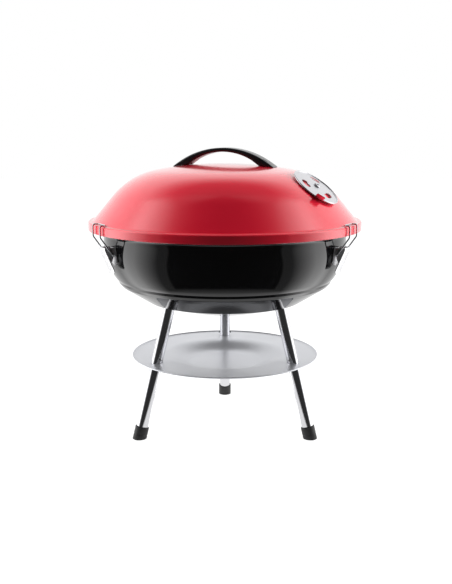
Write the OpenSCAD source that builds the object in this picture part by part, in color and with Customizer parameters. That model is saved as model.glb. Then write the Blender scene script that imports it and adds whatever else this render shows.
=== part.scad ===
// Table-top kettle charcoal grill. Millimetres, +Z up, front towards -Y, origin on the floor below the
// kettle's own axis. Directions round the kettle are angles from the front, positive to the right.

/* [Bowl] */
// Outer radius of the bowl's upright wall
bowl_r = 164.3; // [163:0.1:165]
// Sheet thickness of the bowl and the lid
sheet = 1.2; // [0.9:0.1:1.4]
// Height of the flat bottom above the floor
bottom_h = 166; // [165:0.5:167]
// Radius of the flat bottom
bottom_r = 55; // [52:0.5:58]
// Number of ash holes in the bottom
ash_holes = 5; // [3:1:6]

/* [Lid] */
// Outer radius of the lid's skirt
lid_r = 184; // [183.5:0.1:184.5]
// Height of the lid's crown above the floor
crown_h = 364.2; // [363.8:0.1:364.6]
// Radius of the shallow crown
crown_r = 505; // [500:1:510]
// Height of the skirt's lower edge above the floor
skirt_h = 277.9; // [277.5:0.1:279]

/* [Handle] */
// Depth of the handle, front to back
handle_d = 26; // [22:0.5:28]
// Height of the handle's top above the floor
handle_h = 385; // [383:0.5:387]
// Turn of the handle about the kettle's axis
handle_turn = -17; // [-30:1:30]

/* [Vent] */
// Direction of the vent round the kettle
vent_dir = 60; // [40:1:80]
// Diameter of the damper disc
damper_d = 67; // [60:1:70]
// Radius from the disc's centre to its holes
port_r = 19.5; // [18:0.5:21]

/* [Legs] */
// Outer diameter of the leg tubes
leg_d = 15.6; // [15:0.1:16]
// Slope of the bowl's underside, and so the splay of the legs
splay = 15; // [14.5:0.1:15.5]
// Radius at which the legs' axes meet the bowl
leg_top_r = 86; // [84:0.5:88]
// Height of the rubber feet along the leg
foot_l = 16; // [14:0.5:18]

/* [Ash tray] */
// Outer radius of the tray
tray_r = 127.8; // [126:0.1:129]
// Height of the tray's rim above the floor
tray_h = 101.6; // [98:0.2:105]
// Depth of the tray's dish
dish_depth = 11.5; // [8:0.5:13]

/* [Grates] */
// Radius of the cooking grate's ring
cooking_r = 156; // [152:0.5:157]
// Height of the cooking grate's ring
cooking_h = 253; // [252.8:0.1:254]
// Spacing of the cooking grate's rods
cooking_gap = 12; // [10:1:16]
// Radius of the charcoal grate's ring
charcoal_r = 143.6; // [143:0.1:143.6]
// Height of the charcoal grate's ring
charcoal_h = 212.2; // [212.2:0.1:213]
// Spacing of the charcoal grate's rods
charcoal_gap = 17; // [15:1:22]

/* [Latches] */
// Radius of the pin that carries the lever
lever_pin_r = 171.6; // [171.4:0.1:171.8]
// Height of that pin above the floor
lever_pin_h = 259.1; // [258.8:0.1:259.4]
// Width of the wire bail between its sides
bail_w = 24; // [23:0.5:26]
// Diameter of the bail's wire
bail_d = 2; // [1.6:0.1:2.2]

/* [Hidden] */
$fn = 72;
left = -60;
right = 60;
back = 180;
sides = [left, right, back];
free = 0.05; // clearance between pieces that touch
run = 0.05; // radial clearance of a turning pin

// Points of an arc, from one angle to another
function arc(c, r, from, to, n) =
    [for (i = [0:n]) let (a = from + (to - from) * i / n) c + r * [cos(a), sin(a)]];
function unit(v) = v / norm(v);
function turned(v) = [v.y, -v.x];
// The way a line faces at point i, the mean of its two neighbours
function facing(p, i) =
    let (m = len(p) - 1)
    let (a = i > 0 ? turned(unit(p[i] - p[i - 1])) : turned(unit(p[1] - p[0])))
    let (b = i < m ? turned(unit(p[i + 1] - p[i])) : a)
    unit(a + b) / max(0.7, unit(a + b) * a);
// A sheet of thickness t to the right of an open line
function sheet_outline(p, t) =
    concat(p, [for (i = [len(p) - 1:-1:0]) p[i] + t * facing(p, i)]);
// The same for a line that starts or ends on the axis it is turned about
function turned_outline(p, t) = [for (q = sheet_outline(p, t)) [max(0, q.x), q.y]];
function backwards(p) = [for (i = [len(p) - 1:-1:0]) p[i]];

// Lid outline, outside, from the crown outwards and down
crown_c = [0, crown_h - crown_r];
shoulder_r = 100.3;
crown_end = 79.4;
shoulder_end = 39.5;
shoulder_c = crown_c + (crown_r - shoulder_r) * [cos(crown_end), sin(crown_end)];
flange_h = 289.4;
flank_foot_r = 177;
lid_line = concat(
    arc(crown_c, crown_r, 90, crown_end, 8),
    [for (p = arc(shoulder_c, shoulder_r, crown_end, shoulder_end, 14)) if (p.x > 93.5) p],
    [[flank_foot_r, flange_h + 1], [flank_foot_r + 1.1, flange_h]],
    arc([lid_r - 2, flange_h - 2], 2, 90, 0, 4),
    [[lid_r, skirt_h]]
);
function lid_top(r) = crown_c.y + sqrt(crown_r * crown_r - r * r);

// Bowl outline, outside, from the bottom outwards and up to the rolled bead
belly_c = [bowl_r - 87.3, 262];
belly_r = 87.3;
ledge = [144.6, 206.3];
cone_r = 105.5;
cone_h = bottom_h + (cone_r - bottom_r) * tan(splay);
flare_r = 6.5;
bead_r = 3.5;
bead_c = [178.5, 284.4];
bowl_line = concat(
    [[0, bottom_h], [bottom_r, bottom_h], [cone_r, cone_h], [134, 197.3], [139.2, 200.4], [142.6, 203.4]],
    [ledge, [145.4, 208.6], [146.6, 210.4]],
    arc(belly_c, belly_r, -35, 0, 12),
    arc([bowl_r + flare_r, 270], flare_r, 180, 100, 5),
    [[174.6, 278.4]],
    arc(bead_c, bead_r, -75, 205, 14)
);
function belly_x(h) = belly_c.x + sqrt(belly_r * belly_r - pow(h - belly_c.y, 2));

// Vent: its place on the shoulder of the lid, and its tilt
vent_r = 134.5;
vent_lift = sqrt(pow(shoulder_r, 2) - pow(vent_r - shoulder_c.x, 2));
vent_h = shoulder_c.y + vent_lift;
vent_tilt = 90 - atan2(vent_lift, vent_r - shoulder_c.x);
damper_t = 0.8;
damper_gap = 0.5;
damper_drop = 2.2;
dome_r = pow(damper_d / 2, 2) / (2 * damper_drop);
rivet_r = 3;
port_turn = 6; // of the disc's holes, from straight down the slope
port_w = 8;
port_span = 12;

// Legs
leg_top_h = bottom_h + (leg_top_r - bottom_r) * tan(splay);
leg_wall = 1.2;
foot_r = 9.25;
foot_drop = 0.9; // height of the middle of the foot's end before its flat is cut
leg_l = (leg_top_h - foot_drop) / cos(splay);
foot_floor = 3;
tray_t = 1;
screw_r = 3;

// Latches
latch_h = 251;
latch_lean = 7.2;
latch_x = belly_x(latch_h);
lever_t = 1.1;
ear_x = 7;
ear_t = 1.2;
lever_x = 8.6;
pin_r = 1.5;
bail_pin_r = 169.5; // radius and height of the bail's own pivot at rest
bail_pin_h = 252.5;
hook_r = 178.4;
hook_h = flange_h + bail_d / 2 + 0.6;
bail_r = 186.2; // how far out the bail's sides stand
bail_knee_h = 276;
bail_end = 8.4; // where the bail's inturned ends stop, from the middle
latch_rivet_x = 3.6;
latch_rivet_z = 6;
tab_gap = sheet + 0.85; // from the wall's outer face to the flat tabs inside it

module round_the_kettle(a) {
    rotate([0, 0, a]) children();
}

module on_vent() {
    round_the_kettle(vent_dir) translate([0, -vent_r, vent_h]) rotate([vent_tilt, 0, 0]) children();
}

// Frame on a leg: its origin where the leg meets the bowl, +Z up along the leg
module on_leg(a) {
    round_the_kettle(a) translate([0, -leg_top_r, leg_top_h]) rotate([-splay, 0, 0]) children();
}

// Frame on the bowl's wall: +Z up the wall, -Y outwards, +X along the rim
module on_wall(a) {
    round_the_kettle(a) translate([0, -latch_x, latch_h]) rotate([latch_lean, 0, 0]) children();
}

// Flat shape drawn as [radius, height], given a thickness across the latch
module across(a, from, to) {
    round_the_kettle(a) translate([to, 0, 0]) rotate([90, 0, -90]) linear_extrude(to - from) children();
}

module bean(r, w, span) {
    intersection() {
        difference() {
            circle(r + w / 2);
            circle(r - w / 2);
        }
        polygon([[0, 0], 2 * r * [-sin(span), -cos(span)], 2 * r * [sin(span), -cos(span)]]);
    }
    for (s = [-1, 1]) rotate(s * (span - 2)) translate([0, -r]) circle(w / 2 + 0.4);
}

module ports(from, height) {
    for (k = [0:2]) rotate([0, 0, from + 120 * k]) translate([0, 0, -height / 2]) linear_extrude(height)
        bean(port_r, port_w, port_span);
}

// ---- Lid ----

handle_foot = 56; // distance of each handle screw from the middle

module at_handle_feet() {
    rotate([0, 0, handle_turn]) for (s = [-1, 1]) translate([s * handle_foot, 0, lid_top(handle_foot)])
        rotate([0, s * asin(handle_foot / crown_r), 0]) children();
}

module lid_shell() {
    color("firebrick") difference() {
        rotate_extrude($fn = 144) polygon(turned_outline(lid_line, sheet));
        on_vent() ports(port_turn + 60, 20);
        on_vent() cylinder(r = rivet_r + free, h = 20, center = true);
        at_handle_feet() cylinder(r = 2.5 + free, h = 20, center = true);
    }
}

handle_out_r = 110;
handle_in_r = 78.4;
handle_crown = 5.3;
handle_screw_l = 5.5; // how far the screws reach into the feet

module lid_handle() {
    color([0.08, 0.08, 0.08]) difference() {
        rotate([90, 0, handle_turn]) linear_extrude(handle_d, center = true) difference() {
            intersection() {
                translate([0, handle_h - handle_out_r]) circle(handle_out_r, $fn = 144);
                translate([-90, 340]) square([180, 60]);
            }
            translate([0, handle_h - handle_crown - handle_in_r]) circle(handle_in_r, $fn = 144);
        }
        translate([0, 0, crown_c.y]) sphere(crown_r + free, $fn = 144);
        at_handle_feet() cylinder(r = 2.5, h = 2 * handle_screw_l + 0.4, center = true);
    }
}

module handle_screws() {
    color("silver") at_handle_feet() {
        translate([0, 0, -sheet - 1.5]) cylinder(r = 2.5 - free, h = handle_screw_l + sheet + 1.5);
        translate([0, 0, -sheet - 4]) cylinder(r = 4.5, h = 2.6);
    }
}

module handle_washers() {
    color("silver") at_handle_feet() translate([0, 0, -sheet - 1.3]) difference() {
        cylinder(r = 6.5, h = 1.2);
        cylinder(r = 2.6, h = 5, center = true);
    }
}

module vent_damper() {
    tab_turn = port_turn - 60;
    tab_w = 12;
    color("gainsboro") on_vent() difference() {
        union() {
            // Shallow dish with a rolled rim
            intersection() {
                translate([0, 0, damper_gap - dome_r]) difference() {
                    sphere(dome_r + damper_t, $fn = 144);
                    sphere(dome_r, $fn = 144);
                }
                translate([0, 0, -4]) cylinder(d = damper_d - 1, h = 8);
            }
            translate([0, 0, damper_gap - damper_drop + 1.1]) rotate_extrude()
                translate([damper_d / 2 - 1, 0]) circle(1, $fn = 24);
            // Finger tab
            rotate([0, 0, tab_turn]) translate([-tab_w / 2, -damper_d / 2 + 0.6, -0.9]) rotate([25, 0, 0])
                cube([tab_w, damper_t, 8]);
        }
        ports(port_turn, 20);
        cylinder(r = rivet_r + run, h = 20, center = true);
        for (s = [-1, 1]) rotate([0, 0, tab_turn]) translate([s * (tab_w / 2 + 1.6), -damper_d / 2 - 1, 0])
            cylinder(r = 1.4, h = 20, center = true);
    }
}

module vent_rivet() {
    color("silver") on_vent() {
        translate([0, 0, -sheet - 2.2]) cylinder(r = rivet_r, h = sheet + 2.2 + 3);
        translate([0, 0, damper_gap + damper_t + 0.15]) difference() {
            cylinder(r = 4.6, h = 2);
            translate([0, 0, 1.2]) cylinder(r = 1.9, h = 4);
        }
        translate([0, 0, -sheet - 2.4]) cylinder(r = 4.2, h = 0.9);
    }
}

module vent_washer() {
    color("silver") on_vent() translate([0, 0, -sheet - 1.4]) difference() {
        cylinder(r = 7, h = 1);
        cylinder(r = rivet_r + free, h = 5, center = true);
    }
}

// ---- Bowl and what hangs in it ----

module bowl_shell() {
    color([0.06, 0.06, 0.06]) difference() {
        rotate_extrude($fn = 144) polygon(turned_outline(backwards(bowl_line), sheet));
        for (a = sides) on_leg(a) cylinder(r = screw_r + 0.3, h = 20, center = true);
        for (a = sides) on_wall(a) at_latch_rivets() cylinder(r = 1.6, h = 20, center = true);
        for (k = [0:ash_holes - 1]) rotate([0, 0, 360 * k / ash_holes]) translate([32, 0, bottom_h])
            cylinder(r = 8, h = 10, center = true);
    }
}

module at_latch_rivets() {
    for (s = [-1, 1]) translate([s * latch_rivet_x, 0, latch_rivet_z]) rotate([90, 0, 0]) children();
}

module wire_ring(r, d) {
    rotate_extrude($fn = 96) translate([r, 0]) circle(d / 2, $fn = 24);
}

// Straight rods laid side by side across a ring
module rods(r, d, gap) {
    count = floor((r - gap / 2) / gap);
    for (i = [-count:count]) {
        half = sqrt(r * r - pow(i * gap, 2));
        translate([i * gap, 0, 0]) rotate([90, 0, 0])
            cylinder(d = d, h = 2 * half + d, center = true, $fn = 24);
    }
}

module cross_bars(r, d, at) {
    for (s = [-1, 1]) translate([0, s * at, 0]) rotate([0, 90, 0])
        cylinder(d = d, h = 2 * sqrt(r * r - at * at), center = true, $fn = 24);
}

module cooking_grate() {
    color("silver") translate([0, 0, cooking_h]) {
        wire_ring(cooking_r, 5);
        translate([0, 0, 3.6]) rods(cooking_r, 3, cooking_gap);
        cross_bars(cooking_r, 4, 62);
    }
}

module charcoal_grate() {
    color("silver") translate([0, 0, charcoal_h]) {
        wire_ring(charcoal_r, 4);
        translate([0, 0, 3.1]) rods(charcoal_r, 3, charcoal_gap);
        cross_bars(charcoal_r, 4, 55);
    }
}

// Shelf tabs on the inside of the wall, on the latches' own rivets
module grate_brackets() {
    tab_w = 14;
    tab_t = 1.2;
    color("silver") for (a = sides) on_wall(a) difference() {
        union() {
            translate([-tab_w / 2, tab_gap, -3]) cube([tab_w, tab_t, 12]);
            translate([-tab_w / 2, tab_gap, -3]) cube([tab_w, 14, tab_t]);
        }
        at_latch_rivets() cylinder(r = 1.6, h = 20, center = true);
    }
}

// ---- Legs, feet and tray ----

module leg(a) {
    color("gainsboro") on_leg(a) difference() {
        translate([0, 0, -leg_l + foot_floor]) cylinder(d = leg_d, h = leg_l - foot_floor - 0.15);
        translate([0, 0, -leg_l]) cylinder(r = leg_d / 2 - leg_wall, h = leg_l + 5);
        translate([0, 0, tray_pin_z]) rotate([0, 90, 0]) cylinder(r = 1.55, h = 30, center = true);
    }
}

module leg_left() { leg(left); }
module leg_right() { leg(right); }
module leg_back() { leg(back); }

module foot(a) {
    color([0.1, 0.1, 0.1]) difference() {
        on_leg(a) difference() {
            union() {
                translate([0, 0, -leg_l]) cylinder(r = foot_r, h = foot_l - 1);
                translate([0, 0, -leg_l + foot_l - 1]) cylinder(r1 = foot_r, r2 = foot_r - 1, h = 1);
            }
            translate([0, 0, -leg_l + foot_floor - 0.1]) cylinder(r = leg_d / 2 + free, h = foot_l);
        }
        translate([-250, -250, -20]) cube([500, 500, 20]);
    }
}

module foot_left() { foot(left); }
module foot_right() { foot(right); }
module foot_back() { foot(back); }

module leg_plugs() {
    color("gray") for (a = sides) on_leg(a) difference() {
        translate([0, 0, -18]) cylinder(r = leg_d / 2 - leg_wall - free, h = 17.8);
        translate([0, 0, -16]) cylinder(r = screw_r + free, h = 20);
    }
}

module leg_washers() {
    color("silver") for (a = sides) on_leg(a) translate([0, 0, sheet + 0.2]) difference() {
        cylinder(r = 8, h = 1.2);
        cylinder(r = screw_r + 0.1, h = 5, center = true);
    }
}

module leg_screws() {
    head = sheet + 0.2 + 1.2 + 0.05;
    color("silver") for (a = sides) on_leg(a) {
        translate([0, 0, -13]) cylinder(r = screw_r, h = 13 + head + 0.5);
        translate([0, 0, head]) difference() {
            cylinder(r = 5.6, h = 4, $fn = 6);
            translate([0, 0, 3]) cylinder(r = 2.4, h = 4);
        }
    }
}

tray_pin_z = (tray_h + 5 - leg_top_h) / cos(splay);

module tray_pins() {
    color("white") for (a = sides) on_leg(a) translate([0, 0, tray_pin_z]) rotate([0, 90, 0])
        cylinder(r = 1.5, h = leg_d + 3.4, center = true);
}

dish_r = 85;
dish_floor_r = 45;
tray_line = concat(
    [[0, tray_h - dish_depth], [dish_floor_r, tray_h - dish_depth]],
    [
        for (i = [1:9]) let (u = i / 9)
            [dish_floor_r + u * (dish_r - dish_floor_r), tray_h - dish_depth * (1 + cos(180 * u)) / 2]
    ],
    [[tray_r - 1.2, tray_h], [tray_r, tray_h + 0.9], [tray_r, tray_h + 1.6]]
);

module ash_tray() {
    color("lightgray") difference() {
        rotate_extrude($fn = 144) polygon(turned_outline(tray_line, tray_t));
        for (a = sides) on_leg(a) translate([0, 0, -leg_l]) cylinder(d = leg_d + 0.6, h = leg_l);
    }
}

// ---- Latches ----

module latch_bracket(a) {
    plate_w = 20;
    color("silver") {
        difference() {
            union() {
                on_wall(a) translate([-plate_w / 2, -1.25, -8]) cube([plate_w, 1.2, 19]);
                on_wall(a) rotate([90, 0, 0]) translate([0, 0, 0.05]) linear_extrude(1.2)
                    polygon([[-plate_w / 2, -7.9], [0, -13.5], [plate_w / 2, -7.9]]);
                for (s = [0, 1]) mirrored(a, s) across(0, ear_x, ear_x + ear_t) ear_shape();
            }
            on_wall(a) at_latch_rivets() cylinder(r = 1.6, h = 20, center = true);
            across(a, -20, 20) translate([lever_pin_r, lever_pin_h]) circle(pin_r, $fn = 24);
        }
    }
}

// Either side of the latch at direction a
module mirrored(a, s) {
    round_the_kettle(a) mirror([s, 0, 0]) children();
}

module ear_shape() {
    translate([lever_pin_r, lever_pin_h]) circle(2.9, $fn = 32);
    polygon([
        [latch_x + 0.6, lever_pin_h + 2.7], [lever_pin_r, lever_pin_h + 2.9],
        [lever_pin_r + 2.9, lever_pin_h], [lever_pin_r, lever_pin_h - 2.9], [latch_x + 0.6, lever_pin_h - 8]
    ]);
}

module latch_bracket_left() { latch_bracket(left); }
module latch_bracket_right() { latch_bracket(right); }
module latch_bracket_back() { latch_bracket(back); }

module latch_rivets() {
    color("silver") for (a = sides) on_wall(a) at_latch_rivets() {
        translate([0, 0, -tab_gap - 2]) cylinder(r = 1.5, h = tab_gap + 3.8);
        translate([0, 0, 1.3]) cylinder(r1 = 2.9, r2 = 1.8, h = 1.3);
        translate([0, 0, -tab_gap - 2.3]) cylinder(r = 2.6, h = 1);
    }
}

module latch_pins() {
    color("silver") for (a = sides) across(a, -10.6, 10.6)
        translate([lever_pin_r, lever_pin_h]) circle(pin_r - run, $fn = 24);
}

// Outer face of the lever's strip, from its top down
lever_line = concat(
    [[179.5, 262.4], [179.9, 260.8], [178.4, 256.5]],
    [[171.5, 240.6], [167.4, 231.6], [167.6, 227.8]]
);

module latch_lever(a) {
    color("silver") difference() {
        union() {
            across(a, -lever_x - lever_t, lever_x + lever_t) polygon(sheet_outline(lever_line, lever_t));
            for (s = [0, 1]) mirrored(a, s) across(0, lever_x, lever_x + lever_t) {
                translate([lever_pin_r, lever_pin_h]) circle(3, $fn = 32);
                translate([bail_pin_r, bail_pin_h]) circle(2.6, $fn = 32);
                polygon([
                    [lever_pin_r - 0.6, lever_pin_h + 2.9], [179, 262.2], [178, 256.9], [172.1, 243.2],
                    [170.2, 243.6], [bail_pin_r - 1.2, bail_pin_h - 2.3],
                    [bail_pin_r - 2.5, bail_pin_h + 0.7], [lever_pin_r - 2.9, lever_pin_h + 0.8]
                ]);
            }
        }
        across(a, -20, 20) translate([lever_pin_r, lever_pin_h]) circle(pin_r + 0.02, $fn = 24);
        across(a, -20, 20) translate([bail_pin_r, bail_pin_h]) circle(bail_d / 2 + run, $fn = 24);
    }
}

module latch_lever_left() { latch_lever(left); }
module latch_lever_right() { latch_lever(right); }
module latch_lever_back() { latch_lever(back); }

// A path through corner points, with each corner rounded to its radius in a few steps
function rounded_path(p, radii, steps) = [
    for (i = [0:len(p) - 1])
        if (i == 0 || i == len(p) - 1) p[i]
        else
            let (u = unit(p[i] - p[i - 1]), w = unit(p[i + 1] - p[i]), turn = acos(u * w))
            let (r = radii[i - 1], n = unit(w - (w * u) * u), c = p[i] - r * tan(turn / 2) * u + r * n)
            each [for (k = [0:steps]) let (a = turn * k / steps) c + r * (sin(a) * u - cos(a) * n)]
];
// The way the path runs at point i
function heading(p, i) =
    unit((i > 0 ? unit(p[i] - p[i - 1]) : [0, 0, 0]) + (i < len(p) - 1 ? unit(p[i + 1] - p[i]) : [0, 0, 0]));
// Sideways directions along a path, each turned as little as possible from the last
function sideways(p, i = 0, last = [0, 0, 1]) =
    i == len(p) ? []
        : let (t = heading(p, i), s = unit(last - (last * t) * t)) concat([s], sideways(p, i + 1, s));

module bent_wire(path, d) {
    corners = 12;
    n = len(path);
    side = sideways(path);
    rings = [
        for (i = [0:n - 1]) let (s = side[i], q = cross(heading(path, i), s))
            for (k = [0:corners - 1]) let (a = 360 * k / corners) path[i] + d / 2 * (cos(a) * s + sin(a) * q)
    ];
    walls = [
        for (i = [0:n - 2]) for (k = [0:corners - 1])
            let (m = (k + 1) % corners, a = i * corners, b = a + corners)
            each [[a + k, b + k, b + m], [a + k, b + m, a + m]]
    ];
    start = [for (k = [0:corners - 1]) k];
    end = [for (k = [corners - 1:-1:0]) (n - 1) * corners + k];
    polyhedron(rings, concat(walls, [start, end]));
}

module latch_bail(a) {
    side = bail_w / 2;
    half = [
        [side, -hook_r, hook_h], [side, -bail_r, hook_h], [side, -bail_r, bail_knee_h],
        [side, -bail_pin_r, bail_pin_h], [bail_end, -bail_pin_r, bail_pin_h]
    ];
    other = [for (q = backwards(half)) [-q.x, q.y, q.z]];
    radii = [1.8, 4, 3, 2.5, 2.5, 3, 4, 1.8];
    color("silver") round_the_kettle(a) bent_wire(rounded_path(concat(other, half), radii, 3), bail_d);
}

module latch_bail_left() { latch_bail(left); }
module latch_bail_right() { latch_bail(right); }
module latch_bail_back() { latch_bail(back); }

lid_shell();
lid_handle();
handle_screws();
handle_washers();
vent_damper();
vent_rivet();
vent_washer();
bowl_shell();
cooking_grate();
charcoal_grate();
grate_brackets();
leg_left();
leg_right();
leg_back();
foot_left();
foot_right();
foot_back();
leg_plugs();
leg_screws();
leg_washers();
ash_tray();
tray_pins();
latch_bracket_left();
latch_bracket_right();
latch_bracket_back();
latch_rivets();
latch_pins();
latch_lever_left();
latch_lever_right();
latch_lever_back();
latch_bail_left();
latch_bail_right();
latch_bail_back();
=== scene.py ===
import math
from math import cos, radians, sin

import bmesh
import bpy
from mathutils import Matrix, Vector


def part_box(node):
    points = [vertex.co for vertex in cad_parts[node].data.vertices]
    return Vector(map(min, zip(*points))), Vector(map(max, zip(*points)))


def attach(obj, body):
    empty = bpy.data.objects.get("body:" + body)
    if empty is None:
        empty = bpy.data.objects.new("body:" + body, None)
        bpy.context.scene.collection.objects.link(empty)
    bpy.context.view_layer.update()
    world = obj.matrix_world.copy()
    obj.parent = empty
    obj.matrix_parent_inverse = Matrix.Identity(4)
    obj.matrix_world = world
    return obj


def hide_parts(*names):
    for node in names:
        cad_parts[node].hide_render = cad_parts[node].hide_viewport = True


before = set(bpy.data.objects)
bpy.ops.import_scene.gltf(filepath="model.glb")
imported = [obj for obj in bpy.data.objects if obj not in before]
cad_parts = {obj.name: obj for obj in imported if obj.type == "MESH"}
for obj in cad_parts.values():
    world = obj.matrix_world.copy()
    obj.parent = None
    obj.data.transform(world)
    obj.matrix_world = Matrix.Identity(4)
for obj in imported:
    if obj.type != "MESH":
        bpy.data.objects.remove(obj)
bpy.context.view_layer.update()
mm = 0.001
sides = {"left": -60, "right": 60, "back": 180}  # degrees round the kettle, from the front
print("frame loaded")


# ---- node trees ----

def addNode(tree, kind, inputs=None, **settings):
    made = tree.nodes.new(kind)
    for name, value in settings.items():
        setattr(made, name, value)
    for name, value in (inputs or {}).items():
        if isinstance(value, bpy.types.NodeSocket):
            tree.links.new(value, made.inputs[name])
        else:
            made.inputs[name].default_value = value
    return made


def addMath(tree, operation, a, b=0.0):
    return addNode(tree, "ShaderNodeMath", {0: a, 1: b}, operation=operation).outputs[0]


def startTree(name, inputs):
    tree = bpy.data.node_groups.new(name, "GeometryNodeTree")
    tree.is_modifier = True
    tree.interface.new_socket("Geometry", in_out="OUTPUT", socket_type="NodeSocketGeometry")
    tree.interface.new_socket("Geometry", in_out="INPUT", socket_type="NodeSocketGeometry")
    for label, kind in inputs.items():
        tree.interface.new_socket(label, in_out="INPUT", socket_type="NodeSocket" + kind)
    return tree, tree.nodes.new("NodeGroupInput").outputs


def endTree(tree, geometry, finish):
    real = addNode(tree, "GeometryNodeRealizeInstances", {"Geometry": geometry})
    smooth = addNode(tree, "GeometryNodeSetShadeSmooth", {"Geometry": real.outputs[0]})
    painted = addNode(tree, "GeometryNodeSetMaterial", {"Geometry": smooth.outputs[0], "Material": finish})
    addNode(tree, "NodeGroupOutput", {0: painted.outputs[0]})
    return tree


# Turns a section, drawn as edges in the X-Z plane, once round Z
def makeTurnedTree():
    tree, given = startTree("turned section", {"Steps": "Int", "Finish": "Material"})
    sizes = addNode(tree, "GeometryNodeAttributeDomainSize", {"Geometry": given["Geometry"]})
    count = sizes.outputs["Point Count"]
    columns = addMath(tree, "ADD", given["Steps"], 1.0)
    grid = addNode(tree, "GeometryNodeMeshGrid", {"Vertices X": columns, "Vertices Y": count})
    index = tree.nodes.new("GeometryNodeInputIndex").outputs[0]
    row = addMath(tree, "MODULO", index, count)
    column = addMath(tree, "FLOOR", addMath(tree, "DIVIDE", index, count))
    angle = addMath(tree, "MULTIPLY", addMath(tree, "DIVIDE", column, given["Steps"]), 2 * math.pi)
    position = tree.nodes.new("GeometryNodeInputPosition").outputs[0]
    sample = addNode(tree, "GeometryNodeSampleIndex", data_type="FLOAT_VECTOR")
    tree.links.new(given["Geometry"], sample.inputs["Geometry"])
    tree.links.new(position, next(s for s in sample.inputs if s.name == "Value" and s.enabled))
    tree.links.new(row, sample.inputs["Index"])
    found = next(s for s in sample.outputs if s.enabled)
    turn = addNode(tree, "ShaderNodeVectorRotate", {"Vector": found, "Angle": angle}, rotation_type="Z_AXIS")
    placed = addNode(tree, "GeometryNodeSetPosition", {
        "Geometry": grid.outputs["Mesh"], "Position": turn.outputs[0]})
    merged = addNode(tree, "GeometryNodeMergeByDistance", {"Geometry": placed.outputs[0], "Distance": 1e-6})
    return endTree(tree, merged.outputs[0], given["Finish"])


# Lays a round wire along a path drawn as edges
def makeWireTree():
    tree, given = startTree("wire on a path", {"Diameter": "Float", "Corners": "Int", "Finish": "Material"})
    path = addNode(tree, "GeometryNodeMeshToCurve", {"Mesh": given["Geometry"]})
    radius = addMath(tree, "DIVIDE", given["Diameter"], 2.0)
    ring = addNode(tree, "GeometryNodeCurvePrimitiveCircle", {
        "Resolution": given["Corners"], "Radius": radius})
    wire = addNode(tree, "GeometryNodeCurveToMesh", {
        "Curve": path.outputs[0], "Profile Curve": ring.outputs[0], "Fill Caps": True})
    return endTree(tree, wire.outputs[0], given["Finish"])


# A round grate: a wire ring, rods side by side across it and two cross bars under them
def makeGrateTree():
    lengths = (
        "Ring Radius", "Ring Wire", "Rod Wire", "Rod Gap", "Rod Rise", "Bar Wire", "Bar Place", "Height")
    tree, given = startTree("round grate", {**{label: "Float" for label in lengths}, "Finish": "Material"})
    radius = given["Ring Radius"]

    def wireCircle(size, corners):
        return addNode(tree, "GeometryNodeCurvePrimitiveCircle", {
            "Resolution": corners, "Radius": size}).outputs[0]

    def rodsAt(points, size, turn, along):
        shape = addNode(tree, "GeometryNodeMeshCylinder", {
            "Vertices": 14, "Radius": addMath(tree, "DIVIDE", size, 2.0), "Depth": 1.0})
        reach = addMath(tree, "SUBTRACT", addMath(tree, "MULTIPLY", radius, radius),
                        addMath(tree, "MULTIPLY", along, along))
        length = addMath(tree, "ADD", addMath(tree, "MULTIPLY", addMath(tree, "SQRT", reach), 2.0), size)
        stretch = addNode(tree, "ShaderNodeCombineXYZ", {0: 1.0, 1: 1.0, 2: length})
        return addNode(tree, "GeometryNodeInstanceOnPoints", {
            "Points": points, "Instance": shape.outputs["Mesh"], "Rotation": turn,
            "Scale": stretch.outputs[0]}).outputs[0]

    wire = addMath(tree, "DIVIDE", given["Ring Wire"], 2.0)
    ring = addNode(tree, "GeometryNodeCurveToMesh", {
        "Curve": wireCircle(radius, 160), "Profile Curve": wireCircle(wire, 16)})
    position = tree.nodes.new("GeometryNodeInputPosition").outputs[0]
    place = addNode(tree, "ShaderNodeSeparateXYZ", {0: position})
    half = addMath(tree, "FLOOR", addMath(tree, "DIVIDE", addMath(
        tree, "SUBTRACT", radius, addMath(tree, "DIVIDE", given["Rod Gap"], 2.0)), given["Rod Gap"]))
    count = addMath(tree, "ADD", addMath(tree, "MULTIPLY", half, 2.0), 1.0)
    first = addMath(tree, "MULTIPLY", addMath(tree, "MULTIPLY", half, given["Rod Gap"]), -1.0)
    start = addNode(tree, "ShaderNodeCombineXYZ", {0: first, 2: given["Rod Rise"]})
    step = addNode(tree, "ShaderNodeCombineXYZ", {0: given["Rod Gap"]})
    row = addNode(tree, "GeometryNodeMeshLine", {
        "Count": count, "Start Location": start.outputs[0], "Offset": step.outputs[0]})
    rods = rodsAt(row.outputs[0], given["Rod Wire"], (math.pi / 2, 0, 0), place.outputs[0])
    barStart = addNode(tree, "ShaderNodeCombineXYZ", {1: addMath(tree, "MULTIPLY", given["Bar Place"], -1.0)})
    barStep = addNode(tree, "ShaderNodeCombineXYZ", {1: addMath(tree, "MULTIPLY", given["Bar Place"], 2.0)})
    pair = addNode(tree, "GeometryNodeMeshLine", {
        "Count": 2, "Start Location": barStart.outputs[0], "Offset": barStep.outputs[0]})
    bars = rodsAt(pair.outputs[0], given["Bar Wire"], (0, math.pi / 2, 0), place.outputs[1])
    joined = addNode(tree, "GeometryNodeJoinGeometry")
    for part in (ring.outputs[0], rods, bars):
        tree.links.new(part, joined.inputs[0])
    lift = addNode(tree, "ShaderNodeCombineXYZ", {2: given["Height"]})
    raised = addNode(tree, "GeometryNodeTransform", {
        "Geometry": joined.outputs[0], "Translation": lift.outputs[0]})
    return endTree(tree, raised.outputs[0], given["Finish"])


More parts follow.
